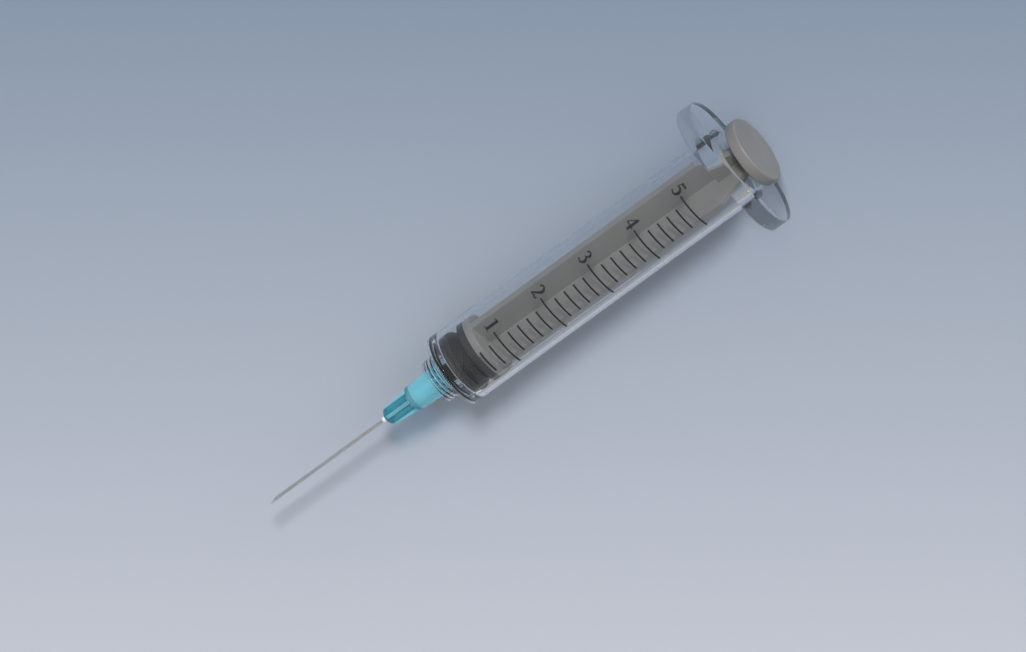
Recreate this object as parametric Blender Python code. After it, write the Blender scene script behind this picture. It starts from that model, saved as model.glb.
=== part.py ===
"""Five-millilitre syringe with a luer-lock needle, lying on the flat of its finger flange.

The axis runs along +X from the needle's point to the thumb disc, and +Z is up.
Each piece is modelled along its own X axis from a datum plane, and placed by that datum.
"""

import math

import bmesh
import bpy

mm = 0.001

# Barrel tube, measured from its front rim
bore_radius = 5.642 * mm  # one millilitre fills 10 mm of it
barrel_wall = 0.94 * mm
barrel_length = 61.8 * mm
front_wall = 1.85 * mm
front_corner = 0.15 * mm
rim_width = 0.6 * mm
dish_depth = 0.5 * mm

# Finger flange at the open end
flange_thickness = 3.0 * mm
flange_arc_offset = 6.27 * mm
flange_step = 0.1 * mm  # the flat stands this far past the tube
flange_corner = 0.12 * mm

# Luer tip and lock collar
tip_length = 7.5 * mm
tip_end_radius = 1.98 * mm
luer_slope = 0.03  # growth of the cone's radius along its length
tip_corner = 0.12 * mm
channel_radius = 1.0 * mm
collar_length = 3.2 * mm
collar_bore_radius = 3.5 * mm
collar_wall = 0.4 * mm
collar_lead_in = 0.15 * mm

# Stopper, measured from its front lip
stopper_length = 4.94 * mm
nub_length = 2.55 * mm
nub_radius = 1.63 * mm
nub_chamfer = 0.4 * mm
lip_rise = 0.08 * mm
lip_land_end = 0.18 * mm
lip_length = 0.34 * mm
shallow_groove_middle = 0.79 * mm
shallow_groove_depth = 0.12 * mm
second_rib_start = 1.24 * mm
second_rib_end = 1.6 * mm
rib_shoulder_end = 1.71 * mm
rib_shoulder_drop = 0.38 * mm
deep_groove_depth = 0.87 * mm
deep_groove_start = 2.14 * mm
deep_groove_end = 3.08 * mm
rear_ring_start = 3.84 * mm

# Plunger rod, measured from the front of its disc
disc_thickness = 1.4 * mm
rib_thickness = 1.08 * mm
rib_setback = 0.05 * mm  # ribs stay this far inside the disc's edge
rib_taper_length = 5.4 * mm
rib_end_length = 1.6 * mm  # narrow ribs in front of the thumb disc
rib_end_reach = 3.05 * mm
thumb_radius = 6.08 * mm
thumb_thickness = 2.0 * mm
thumb_corner = 0.15 * mm

# Snap head of the rod inside the stopper
neck_radius = 1.9 * mm
neck_length = 1.3 * mm
head_radius = 2.9 * mm
head_length = 1.3 * mm
head_nose_radius = 1.9 * mm

# Needle hub, measured from its open mouth back to the nose
nose_radius = 0.97 * mm
core_radius = 1.25 * mm
nose_taper = 0.6 * mm
fin_length = 5.6 * mm  # nose included
fin_thickness = 0.62 * mm
fin_front_gap = 0.06 * mm  # from the nose to the fins' front
fin_front_reach = 1.58 * mm
fin_rear_reach = 2.04 * mm
ring_length = 0.64 * mm
ring_step = 0.4 * mm
core_flare = 0.8 * mm
hub_front_wall = 0.28 * mm
hub_mouth_wall = 0.44 * mm
socket_floor = 0.5 * mm  # from the socket's end to the fins' rear end
funnel_length = 1.0 * mm
funnel_radius = 1.0 * mm
lug_thickness = 0.9 * mm
lug_setback = 0.12 * mm
lug_angle = math.radians(64)

# Cannula and the glue that holds it
cannula_radius = 0.32 * mm
cannula_bore_radius = 0.17 * mm
bevel_length = 2.5 * mm
exposed_length = 24.4 * mm  # point to glue
cannula_tail = 0.7 * mm  # reach into the hub's funnel
bead_length = 0.8 * mm
bead_radius = 0.5 * mm
well_radius = 0.62 * mm
well_end_radius = 0.5 * mm
well_depth = 1.5 * mm

# Fits between the pieces
lip_clearance = 0.06 * mm
rib_clearance = 0.14 * mm
disc_clearance = 0.12 * mm
nub_clearance = 0.15 * mm
head_clearance = 0.1 * mm
cone_clearance = 0.04 * mm
lug_clearance = 0.3 * mm  # leaves room for the collar's fine thread
cannula_clearance = 0.03 * mm
well_clearance = 0.03 * mm
tip_end_gap = 0.3 * mm
stopper_front_gap = 0.21 * mm
disc_seat_gap = 0.1 * mm
mouth_gap = 0.5 * mm
thumb_gap = 1.6 * mm  # left between the flange and the thumb disc

# Turn of each piece about the axis
rod_roll = math.radians(23.3)
hub_roll = math.radians(-21.7)
cannula_roll = math.radians(-71.7)

# Facets around a full turn
coarse = 24
medium = 48
fine = 72
over = 1.0 * mm  # cutters run past the walls by this much

outer_radius = bore_radius + barrel_wall
flange_half_height = outer_radius + flange_step
disc_radius = bore_radius - disc_clearance
socket_depth = tip_length - mouth_gap + tip_end_gap
fin_rear = socket_depth + socket_floor
hub_length = fin_rear + fin_length

# Datum of each piece along the axis, from the barrel's front rim
stopper_datum = front_wall + stopper_front_gap
rod_datum = stopper_datum + stopper_length + disc_seat_gap
thumb_start = barrel_length + thumb_gap - rod_datum
hub_datum = -mouth_gap
nose_datum = hub_datum - hub_length
point_datum = nose_datum - bead_length - exposed_length
thumb_end = rod_datum + thumb_start + thumb_thickness
middle = (point_datum + thumb_end) / 2


def clear_scene():
    for obj in list(bpy.data.objects):
        bpy.data.objects.remove(obj, do_unlink=True)


def make_material(name, colour, roughness, metallic=0.0, transmission=0.0):
    material = bpy.data.materials.new(name)
    material.use_nodes = True
    shader = material.node_tree.nodes["Principled BSDF"]
    shader.inputs["Base Color"].default_value = (*colour, 1.0)
    shader.inputs["Roughness"].default_value = roughness
    shader.inputs["Metallic"].default_value = metallic
    shader.inputs["Transmission Weight"].default_value = transmission
    return material


def object_from(bm, name):
    """An object that holds the finished bmesh, with its faces pointing out."""
    bmesh.ops.recalc_face_normals(bm, faces=bm.faces)
    mesh = bpy.data.meshes.new(name)
    bm.to_mesh(mesh)
    bm.free()
    obj = bpy.data.objects.new(name, mesh)
    bpy.context.scene.collection.objects.link(obj)
    return obj


def arc(centre_x, centre_r, radius, start, end, steps=3):
    """Points (x, r) on an arc; angles in degrees, 0 along +x and 90 outwards."""
    turns = [math.radians(start + (end - start) * i / steps) for i in range(steps + 1)]
    return [(centre_x + radius * math.cos(t), centre_r + radius * math.sin(t)) for t in turns]


def turned(name, profile, segments, closed):
    """Revolves points (x, r) about the X axis. A closed profile makes a ring, an open one ends on the axis."""
    bm = bmesh.new()
    verts = [bm.verts.new((x, 0.0, r)) for x, r in profile]
    for first, second in zip(verts, verts[1:]):
        bm.edges.new((first, second))
    if closed:
        bm.edges.new((verts[-1], verts[0]))
    bmesh.ops.spin(
        bm,
        geom=bm.verts[:] + bm.edges[:],
        cent=(0, 0, 0),
        axis=(1, 0, 0),
        angle=2 * math.pi,
        steps=segments,
        use_merge=True,
    )
    bmesh.ops.remove_doubles(bm, verts=bm.verts, dist=1e-7)
    return object_from(bm, name)


def cross_outline(reach, thickness):
    """The twelve corners (y, z) of an upright cross."""
    half = thickness / 2
    arm = [(reach, -half), (reach, half), (half, half)]
    corners = []
    for quarter in range(4):
        c, s = round(math.cos(quarter * math.pi / 2)), round(math.sin(quarter * math.pi / 2))
        corners += [(y * c - z * s, y * s + z * c) for y, z in arm]
    return corners


def cross_loft(name, stations, thickness):
    """A cross-shaped bar whose arms reach out to r at each station (x, r)."""
    bm = bmesh.new()
    loops = []
    for x, reach in stations:
        loops.append([bm.verts.new((x, y, z)) for y, z in cross_outline(reach, thickness)])
    count = len(loops[0])
    for loop, following in zip(loops, loops[1:]):
        for i in range(count):
            j = (i + 1) % count
            bm.faces.new((loop[i], loop[j], following[j], following[i]))
    bm.faces.new(loops[0])
    bm.faces.new(loops[-1])
    return object_from(bm, name)


def stadium_plate(name, start, end, arc_offset, radius, corner):
    """A plate with round ends in the YZ plane, from x = start to x = end, with its rims bevelled."""
    bm = bmesh.new()
    steps = fine // 2
    outline = []
    for side in (1, -1):
        for i in range(steps + 1):
            turn = math.pi * i / steps
            y = side * (arc_offset + radius * math.sin(turn))
            outline.append(bm.verts.new((start, y, side * radius * math.cos(turn))))
    face = bm.faces.new(outline)
    extruded = bmesh.ops.extrude_face_region(bm, geom=[face])
    moved = [v for v in extruded["geom"] if isinstance(v, bmesh.types.BMVert)]
    bmesh.ops.translate(bm, vec=(end - start, 0, 0), verts=moved)
    rims = [e for e in bm.edges if abs(e.verts[0].co.x - e.verts[1].co.x) < corner / 10]
    bmesh.ops.bevel(bm, geom=rims, offset=corner, segments=2, profile=0.5, affect="EDGES")
    return object_from(bm, name)


def arc_block(name, start, end, inner, outer, centre_angle, angle, steps=12):
    """A block swept through an arc about the X axis, from x = start to x = end."""
    bm = bmesh.new()
    corners = [(start, inner), (end, inner), (end, outer), (start, outer)]
    loops = []
    for i in range(steps + 1):
        turn = centre_angle + angle * (i / steps - 0.5)
        points = [(x, -r * math.sin(turn), r * math.cos(turn)) for x, r in corners]
        loops.append([bm.verts.new(p) for p in points])
    for loop, following in zip(loops, loops[1:]):
        for i in range(4):
            j = (i + 1) % 4
            bm.faces.new((loop[i], loop[j], following[j], following[i]))
    bm.faces.new(loops[0])
    bm.faces.new(loops[-1])
    return object_from(bm, name)


def combined(base, added=(), cut=()):
    """The base with the added solids joined and the cut solids taken out; both sets of helpers are removed."""
    for operation, helpers in (("UNION", added), ("DIFFERENCE", cut)):
        for helper in helpers:
            modifier = base.modifiers.new(operation.title(), "BOOLEAN")
            modifier.operation = operation
            modifier.solver = "EXACT"
            modifier.object = helper
    graph = bpy.context.evaluated_depsgraph_get()
    shaped = bpy.data.meshes.new_from_object(base.evaluated_get(graph))
    base.modifiers.clear()
    base.data = shaped
    for helper in (*added, *cut):
        bpy.data.objects.remove(helper, do_unlink=True)
    return base


def finish(obj, material, parent, datum, roll=0.0, sharp=math.radians(32)):
    """Shades the piece, gives it its material and places it by its datum on the axis."""
    obj.data.shade_smooth()
    obj.data.set_sharp_from_angle(angle=sharp)
    obj.data.materials.clear()
    obj.data.materials.append(material)
    obj.parent = parent
    obj.location.x = datum
    obj.rotation_euler.x = roll


def tip_radius(x):
    """Radius of the male luer cone at x from the barrel's front rim."""
    return tip_end_radius + luer_slope * (x + tip_length)


def barrel():
    collar_outer = collar_bore_radius + collar_wall
    flange_front = barrel_length - flange_thickness
    body_profile = [
        (-tip_length, 0.0),
        (-tip_length, tip_end_radius - tip_corner),
        (-tip_length + tip_corner, tip_radius(-tip_length + tip_corner)),
        (dish_depth, tip_radius(dish_depth)),
        (dish_depth, collar_bore_radius),
        (-collar_length + collar_lead_in, collar_bore_radius),
        (-collar_length, collar_bore_radius + collar_lead_in),
        (-collar_length, collar_outer),
        (dish_depth, collar_outer),
        (dish_depth, outer_radius - rim_width),
        (0.0, outer_radius - rim_width),
        *arc(front_corner, outer_radius - front_corner, front_corner, 180, 90),
        (flange_front + flange_thickness / 2, outer_radius),
        (flange_front + flange_thickness / 2, 0.0),
    ]
    body = turned("barrel", body_profile, fine, closed=False)
    flange = stadium_plate(
        "flange", flange_front, barrel_length, flange_arc_offset, flange_half_height, flange_corner
    )
    pocket_radius = nub_radius + nub_clearance
    pocket_front = stopper_datum - nub_length - nub_clearance
    bore_profile = [
        (-tip_length - over, 0.0),
        (-tip_length - over, channel_radius),
        (pocket_front, channel_radius),
        (pocket_front, pocket_radius - nub_chamfer),
        (pocket_front + nub_chamfer, pocket_radius),
        (front_wall, pocket_radius),
        (front_wall, bore_radius),
        (barrel_length + over, bore_radius),
        (barrel_length + over, 0.0),
    ]
    bore = turned("bore", bore_profile, fine, closed=False)
    return combined(body, added=[flange], cut=[bore])


def stopper():
    rib_radius = bore_radius - rib_clearance
    lip_radius = bore_radius - lip_clearance
    cavity_radius = head_radius + head_clearance
    cavity_end = stopper_length + disc_seat_gap - neck_length + head_clearance
    cavity_start = stopper_length + disc_seat_gap - neck_length - head_length - head_clearance
    hole_radius = neck_radius + head_clearance
    profile = [
        (-nub_length, 0.0),
        (-nub_length, nub_radius - nub_chamfer),
        (-nub_length + nub_chamfer, nub_radius),
        (0.0, nub_radius),
        (0.0, rib_radius),
        (lip_rise, lip_radius),
        (lip_land_end, lip_radius),
        (lip_length, rib_radius),
        (shallow_groove_middle, rib_radius - shallow_groove_depth),
        (second_rib_start, rib_radius),
        (second_rib_end, rib_radius),
        (rib_shoulder_end, rib_radius - rib_shoulder_drop),
        (deep_groove_start, rib_radius - deep_groove_depth),
        (deep_groove_end, rib_radius - deep_groove_depth),
        (rear_ring_start, rib_radius),
        (stopper_length, rib_radius),
        (stopper_length, hole_radius),
        (cavity_end, hole_radius),
        (cavity_end, cavity_radius),
        (cavity_start + head_radius - head_nose_radius, cavity_radius),
        (cavity_start, head_nose_radius + head_clearance),
        (cavity_start, 0.0),
    ]
    return turned("stopper", profile, fine, closed=False)


def plunger_rod():
    side_reach = math.sqrt((disc_radius - rib_setback) ** 2 - (rib_thickness / 2) ** 2)
    head_profile = [
        (-neck_length - head_length, 0.0),
        (-neck_length - head_length, head_nose_radius),
        (-neck_length - head_length + head_radius - head_nose_radius, head_radius),
        (-neck_length, head_radius),
        (-neck_length, neck_radius),
        (0.0, neck_radius),
        (0.0, disc_radius),
        (disc_thickness, disc_radius),
        (disc_thickness, 0.0),
    ]
    head = turned("plunger_rod", head_profile, fine, closed=False)
    ribs = cross_loft(
        "ribs",
        [
            (disc_thickness / 2, side_reach),
            (thumb_start - rib_end_length - rib_taper_length, side_reach),
            (thumb_start - rib_end_length, rib_end_reach),
            (thumb_start + thumb_thickness / 2, rib_end_reach),
        ],
        rib_thickness,
    )
    thumb_end_x = thumb_start + thumb_thickness
    thumb_profile = [
        (thumb_start, 0.0),
        *arc(thumb_start + thumb_corner, thumb_radius - thumb_corner, thumb_corner, 180, 90),
        *arc(thumb_end_x - thumb_corner, thumb_radius - thumb_corner, thumb_corner, 90, 0),
        (thumb_end_x, 0.0),
    ]
    thumb = turned("thumb", thumb_profile, fine, closed=False)
    return combined(head, added=[ribs, thumb])


def socket_radius(x):
    """Radius of the hub's female cone at x from its mouth."""
    return tip_radius(hub_datum + x) + cone_clearance


def needle_hub():
    ring_rear = -fin_rear + ring_length
    ring_radius = socket_radius(ring_rear) + hub_front_wall
    mouth_radius = socket_radius(0.0) + hub_mouth_wall
    body_profile = [
        (-hub_length, 0.0),
        (-hub_length, nose_radius),
        (-hub_length + nose_taper, core_radius),
        (-fin_rear - core_flare, core_radius),
        (-fin_rear, ring_radius - ring_step),
        (-fin_rear, ring_radius),
        (ring_rear, ring_radius),
        (0.0, mouth_radius),
        (0.0, 0.0),
    ]
    body = turned("needle_hub", body_profile, medium, closed=False)
    fins = cross_loft(
        "fins",
        [
            (-hub_length + fin_front_gap, nose_radius),
            (-hub_length + nose_taper, fin_front_reach),
            (-fin_rear + ring_length / 2, fin_rear_reach),
        ],
        fin_thickness,
    )
    lug_reach = collar_bore_radius - lug_clearance
    lugs = [
        arc_block(
            f"lug_{i}",
            -lug_setback - lug_thickness,
            -lug_setback,
            (socket_radius(0.0) + mouth_radius) / 2,
            lug_reach,
            math.pi / 2 + i * math.pi,
            lug_angle,
        )
        for i in range(2)
    ]
    tunnel_radius = cannula_radius + cannula_clearance
    inside_profile = [
        (-hub_length - over, 0.0),
        (-hub_length - over, well_radius),
        (-hub_length, well_radius),
        (-hub_length + well_depth, well_end_radius),
        (-hub_length + well_depth, tunnel_radius),
        (-socket_depth - funnel_length, tunnel_radius),
        (-socket_depth, funnel_radius),
        (-socket_depth, socket_radius(-socket_depth)),
        (over, socket_radius(over)),
        (over, 0.0),
    ]
    inside = turned("inside", inside_profile, medium, closed=False)
    return combined(body, added=[fins, *lugs], cut=[inside])


def cannula():
    tail_end = bead_length + exposed_length + hub_length - socket_depth - cannula_tail
    tube_profile = [
        (0.0, cannula_bore_radius),
        (0.0, cannula_radius),
        (tail_end, cannula_radius),
        (tail_end, cannula_bore_radius),
    ]
    return bevelled(turned("cannula", tube_profile, coarse, closed=True))


def bevelled(tube):
    """Slopes the front end of the tube, so that its point is at the bottom and its heel at the top."""
    for vert in tube.data.vertices:
        if vert.co.x < bevel_length / 2:
            vert.co.x = bevel_length * (vert.co.z + cannula_radius) / (2 * cannula_radius)
    return tube


def adhesive_bead():
    inner = cannula_radius + cannula_clearance
    dome = bead_radius - inner
    profile = [
        *arc(-bead_length + dome, inner, dome, 180, 90),
        (-well_clearance, bead_radius),
        (well_clearance, well_radius - well_clearance),
        (well_depth - well_clearance, well_end_radius - well_clearance),
        (well_depth - well_clearance, inner),
    ]
    return turned("adhesive_bead", profile, coarse, closed=True)


def main():
    clear_scene()
    axis = bpy.data.objects.new("syringe_axis", None)
    bpy.context.scene.collection.objects.link(axis)
    axis.location = (-middle, 0.0, flange_half_height)

    clear_plastic = make_material("clear_polypropylene", (0.86, 0.9, 0.94), 0.12, transmission=0.9)
    grey_plastic = make_material("grey_polypropylene", (0.2, 0.2, 0.2), 0.4)
    rubber = make_material("grey_rubber", (0.075, 0.075, 0.075), 0.6)
    blue_plastic = make_material("blue_polypropylene", (0.12, 0.52, 0.7), 0.25, transmission=0.4)
    steel = make_material("bright_steel", (0.6, 0.61, 0.62), 0.2, metallic=1.0)
    glue = make_material("cured_glue", (0.9, 0.9, 0.9), 0.3)

    finish(barrel(), clear_plastic, axis, 0.0)
    finish(stopper(), rubber, axis, stopper_datum)
    finish(plunger_rod(), grey_plastic, axis, rod_datum, rod_roll)
    finish(needle_hub(), blue_plastic, axis, hub_datum, hub_roll)
    finish(cannula(), steel, axis, point_datum, cannula_roll)
    finish(adhesive_bead(), glue, axis, nose_datum)


main()
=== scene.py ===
# Five-millilitre luer-lock syringe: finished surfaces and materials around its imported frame
import math

import bpy
import numpy as np
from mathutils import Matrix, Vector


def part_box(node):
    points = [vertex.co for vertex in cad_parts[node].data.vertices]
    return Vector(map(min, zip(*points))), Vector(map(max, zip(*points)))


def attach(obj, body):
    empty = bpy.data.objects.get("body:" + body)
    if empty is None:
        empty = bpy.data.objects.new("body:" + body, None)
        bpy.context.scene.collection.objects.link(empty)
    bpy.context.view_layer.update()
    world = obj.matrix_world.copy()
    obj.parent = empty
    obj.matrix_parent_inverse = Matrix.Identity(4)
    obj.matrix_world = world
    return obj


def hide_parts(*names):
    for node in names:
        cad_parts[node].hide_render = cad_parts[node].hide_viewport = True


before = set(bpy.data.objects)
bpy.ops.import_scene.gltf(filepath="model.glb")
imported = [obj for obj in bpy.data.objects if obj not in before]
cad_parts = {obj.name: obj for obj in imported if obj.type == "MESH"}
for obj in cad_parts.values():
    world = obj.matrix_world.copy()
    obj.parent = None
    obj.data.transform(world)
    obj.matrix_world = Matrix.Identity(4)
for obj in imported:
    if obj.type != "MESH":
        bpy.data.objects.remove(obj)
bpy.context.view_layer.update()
mm = 0.001
barrelLow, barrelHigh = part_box("barrel")
axisZ = (barrelLow.z + barrelHigh.z) / 2  # height of the syringe's axis
print("stage 1: the frame is in")


# Surfaces. Shapes are in mm and degrees. A grid is an array of rows by columns by xyz, and its columns close
# in a ring.

sharpAngle = 28  # degrees: an edge that turns further than this looks sharp
runStep = 1.0  # longest part of a profile's straight run
arcSteps = 4  # parts of each fillet in a profile
arcRows = 6  # rows of a quarter circle on the flange and at the ribs' feet
sideShare = 0.48  # a fillet takes up at most this share of the sides next to it
tiny = 1e-9  # keeps a division clear of zero, and a comparison clear of rounding


def onAxis(start, x, radius, angle):
    # Cylinder coordinates: x along the axis from start, radius out from it, angle turned from +Z towards -Y
    x, radius, angle = np.broadcast_arrays(start + x * mm, radius * mm, angle)
    return np.stack([x, -radius * np.sin(angle), axisZ + radius * np.cos(angle)], axis=-1)


def evenAngles(columns):
    # Equal parts of a full turn
    return np.arange(columns) * 2 * math.pi / columns


def quarterArc():
    # A quarter circle of radius 1: how far it has risen, 1 - cos, and how far it still has to go, 1 - sin
    swing = np.linspace(0, math.pi / 2, arcRows)
    return 1 - np.cos(swing), 1 - np.sin(swing)


def gridFaces(grid, closedRows):
    # Corners of the quads between neighbouring rows and columns. Where the rows stay open, a fan of
    # triangles closes each end on a pole in its middle.
    rows, columns = grid.shape[:2]
    count = rows * columns
    index = np.arange(count).reshape(rows, columns)
    if closedRows:
        index = np.vstack([index, index[:1]])
    near, far = index[:-1], index[1:]
    quads = np.stack([near, np.roll(near, -1, 1), np.roll(far, -1, 1), far], axis=-1).reshape(-1, 4)
    points = grid.reshape(-1, 3)
    if closedRows:
        return points, quads, np.zeros((0, 3), int)
    poles = grid[[0, -1]].mean(axis=1)
    first, last = index[0], index[-1]
    start = np.stack([np.roll(first, -1), first, np.full(columns, count)], axis=-1)
    end = np.stack([last, np.roll(last, -1), np.full(columns, count + 1)], axis=-1)
    return np.vstack([points, poles]), quads, np.vstack([start, end])


def volumeInside(points, quads, triangles):
    # Six times the volume: the sum, over all triangles, of the determinant of their corners as seen from
    # the points' mean. It is below zero where the faces point inwards.
    parts = np.vstack([quads[:, [0, 1, 2]], quads[:, [0, 2, 3]], triangles])
    return np.linalg.det(points[parts] - points.mean(axis=0)).sum()


def makePiece(name, grids, material, body, node=None, closedRows=False):
    # One object from one or more closed grids, with every face turned outwards
    allPoints, allFaces, count = [], [], 0
    for grid in grids:
        points, quads, triangles = gridFaces(grid, closedRows)
        if volumeInside(points, quads, triangles) < 0:
            quads, triangles = quads[:, ::-1], triangles[:, ::-1]
        allPoints.append(points)
        allFaces += (quads + count).tolist() + (triangles + count).tolist()
        count += len(points)
    mesh = bpy.data.meshes.new(name)
    mesh.from_pydata(np.vstack(allPoints).tolist(), [], allFaces)
    mesh.shade_smooth()
    mesh.set_sharp_from_angle(angle=math.radians(sharpAngle))
    mesh.materials.append(material)
    piece = bpy.data.objects.new(name, mesh)
    bpy.context.scene.collection.objects.link(piece)
    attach(piece, body)
    if node:
        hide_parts(node)


def roundedPath(corners, closed=False):
    # Corners are (x, r, fillet, step), where fillet and step may be left out. Each corner gives way to an
    # arc of its fillet that touches both sides, and the straight run after it is split into equal parts no
    # longer than step.
    corners = [corner + (0, runStep)[len(corner) - 2:] for corner in corners]
    spots = np.array([corner[:2] for corner in corners], float)
    count = len(corners)
    runs = []
    for i, here in enumerate(spots):
        fillet = corners[i][2]
        if fillet == 0 or (not closed and i in (0, count - 1)):
            runs.append(here[None])
            continue
        before, after = here - spots[i - 1], spots[(i + 1) % count] - here
        longest = sideShare * min(np.linalg.norm(before), np.linalg.norm(after))
        before, after = before / np.linalg.norm(before), after / np.linalg.norm(after)
        turn = math.acos(float(np.clip(before @ after, -1, 1)))
        reach = min(fillet * math.tan(turn / 2), longest)
        radius = reach / math.tan(turn / 2)
        centre = here + (after - before) / np.linalg.norm(after - before) * radius / math.cos(turn / 2)
        first, last = here - before * reach - centre, here + after * reach - centre
        share = np.linspace(0, 1, arcSteps + 1)[:, None]
        arc = (np.sin((1 - share) * turn) * first + np.sin(share * turn) * last) / math.sin(turn)
        runs.append(centre + arc)
    path = []
    for i, run in enumerate(runs):
        path.append(run)
        if i == count - 1 and not closed:
            break
        start, end = run[-1], runs[(i + 1) % count][0]
        parts = max(1, math.ceil(np.linalg.norm(end - start) / corners[i][3] - tiny))
        path.append(start + (end - start) * (np.arange(1, parts) / parts)[:, None])
    return np.vstack(path)


def turned(path, angles):
    # The path's x and radius at every angle: rows are the path's points
    ones = np.ones_like(angles)
    return path[:, :1] * ones, path[:, 1:] * ones


def softMin(a, b, width):
    # The smaller of a and b, with a rounded change where they are closer than width
    share = np.clip(0.5 + 0.5 * (b - a) / width, 0, 1)
    return b * (1 - share) + a * share - width * share * (1 - share)


def softMax(a, b, width):
    # The larger of a and b, rounded in the same way
    return -softMin(-a, -b, width)


def armAngles(reach, thickness, shape):
    # Angles round a cross of four arms: tipShares of the edge's angle round each arm's edge, and from there
    # to the middle of the gap sideSteps steps that grow as the power sideGrowth
    edge = math.atan(thickness / 2 / reach)
    side = edge * shape["tipShares"][-1]
    share = np.arange(1, shape["sideSteps"] + 1) / shape["sideSteps"]
    gap = side + (math.pi / 4 - side) * share ** shape["sideGrowth"]
    eighth = np.concatenate([edge * np.array(shape["tipShares"]), gap])
    quarter = np.concatenate([eighth, math.pi / 2 - eighth[1:-1][::-1]])
    return np.concatenate([quarter + math.pi / 2 * i for i in range(4)])


def crossRadius(angles, reach, thickness, shape):
    # Distance from the axis to the outline of a cross: tips at reach / cos, sides at half the thickness over
    # sin, and the neighbouring arm at half the thickness over cos. Edges and roots are rounded.
    folded = np.abs((angles + math.pi / 4) % (math.pi / 2) - math.pi / 4)
    tip = reach / np.cos(folded)
    side = thickness / 2 / np.sin(np.maximum(folded, tiny))
    neighbour = thickness / 2 / np.cos(folded)
    return softMax(softMin(tip, side, shape["edgeWidth"]), neighbour, shape["rootWidth"])


def smoothRise(value, low, high):
    # 0 below low, 1 above high and the cubic 3t2 - 2t3 between
    t = np.clip((value - low) / (high - low), 0, 1)
    return t * t * (3 - 2 * t)


# Materials. Every pattern is in Object coordinates, which are metres here.

patternLook = {
    "waveDetail": 1.0, "grainDetail": 3.0, "grainShare": 0.25,
    "speckSize": 0.12, "patchScale": 180.0, "patchDetail": 2.0,
    "noiseLow": 0.3, "noiseHigh": 0.7,  # most of a noise lies between these
}


def newNode(tree, kind, **settings):
    node = tree.nodes.new(kind)
    for name, value in settings.items():
        setattr(node, name, value)
    return node


def feed(tree, value, socket):
    # Sets the socket to a number or an opaque colour, or links another node's output to it
    if isinstance(value, (int, float)):
        socket.default_value = value
    elif isinstance(value, tuple):
        socket.default_value = (*value, 1)
    else:
        tree.links.new(value, socket)


def newGroup(name, inputs, outputs):
    group = bpy.data.node_groups.new(name, "ShaderNodeTree")
    for direction, labels in (("INPUT", inputs), ("OUTPUT", outputs)):
        for label in labels:
            group.interface.new_socket(label, in_out=direction, socket_type="NodeSocketFloat")
    return group, group.nodes.new("NodeGroupInput").outputs, group.nodes.new("NodeGroupOutput").inputs


def objectPlace(tree):
    return newNode(tree, "ShaderNodeTexCoord").outputs["Object"]


def maths(tree, operation, *values):
    node = newNode(tree, "ShaderNodeMath", operation=operation)
    for value, socket in zip(values, node.inputs):
        feed(tree, value, socket)
    return node.outputs[0]


def noise(tree, vector, scale, detail):
    node = newNode(tree, "ShaderNodeTexNoise")
    for value, label in ((vector, "Vector"), (scale, "Scale"), (detail, "Detail")):
        feed(tree, value, node.inputs[label])
    return node.outputs["Fac"]


def mouldedSkinGroup():
    # Moulded surface: slow waves from shrinkage and a fine grain from the tool steel
    tree, given, made = newGroup("mouldedSkin", ["Wave Scale", "Grain Scale"], ["Wave", "Grain", "Height"])
    place = objectPlace(tree)
    wave = noise(tree, place, given["Wave Scale"], patternLook["waveDetail"])
    grain = noise(tree, place, given["Grain Scale"], patternLook["grainDetail"])
    tree.links.new(wave, made["Wave"])
    tree.links.new(grain, made["Grain"])
    fine = maths(tree, "MULTIPLY", grain, patternLook["grainShare"])
    tree.links.new(maths(tree, "ADD", wave, fine), made["Height"])
    return tree


def dustGroup():
    # Sparse specks: the cores of a cell pattern, kept only where a slow noise is below Cover
    tree, given, made = newGroup("fineDust", ["Scale", "Cover"], ["Mask"])
    place = objectPlace(tree)
    cells = newNode(tree, "ShaderNodeTexVoronoi")
    tree.links.new(place, cells.inputs["Vector"])
    tree.links.new(given["Scale"], cells.inputs["Scale"])
    speck = maths(tree, "LESS_THAN", cells.outputs["Distance"], patternLook["speckSize"])
    slow = noise(tree, place, patternLook["patchScale"], patternLook["patchDetail"])
    patch = maths(tree, "LESS_THAN", slow, given["Cover"])
    tree.links.new(maths(tree, "MULTIPLY", speck, patch), made["Mask"])
    return tree


def placeGroup():
    # Distance from the syringe's axis, the length of (0, y, z - axisZ), and the place x along it
    tree, _, made = newGroup("placeInSyringe", [], ["From Axis", "Along"])
    place = objectPlace(tree)
    across = newNode(tree, "ShaderNodeVectorMath", operation="MULTIPLY_ADD")
    tree.links.new(place, across.inputs[0])
    across.inputs[1].default_value = (0, 1, 1)
    across.inputs[2].default_value = (0, 0, -axisZ)
    distance = newNode(tree, "ShaderNodeVectorMath", operation="LENGTH")
    tree.links.new(across.outputs[0], distance.inputs[0])
    tree.links.new(distance.outputs["Value"], made["From Axis"])
    along = newNode(tree, "ShaderNodeSeparateXYZ")
    tree.links.new(place, along.inputs[0])
    tree.links.new(along.outputs["X"], made["Along"])
    return tree


mouldedSkin = mouldedSkinGroup()
fineDust = dustGroup()
placeInSyringe = placeGroup()


def useGroup(tree, group, values):
    node = newNode(tree, "ShaderNodeGroup", node_tree=group)
    for label, value in values.items():
        node.inputs[label].default_value = value
    return node.outputs


def useSkin(tree, look):
    return useGroup(tree, mouldedSkin, {"Wave Scale": look["waveScale"], "Grain Scale": look["grainScale"]})


def blendColours(tree, share, low, high):
    # The Mix node's colours are its inputs 6 and 7 and its output 2
    node = newNode(tree, "ShaderNodeMix", data_type="RGBA")
    for value, socket in ((share, "Factor"), (low, 6), (high, 7)):
        feed(tree, value, node.inputs[socket])
    return node.outputs[2]


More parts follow.
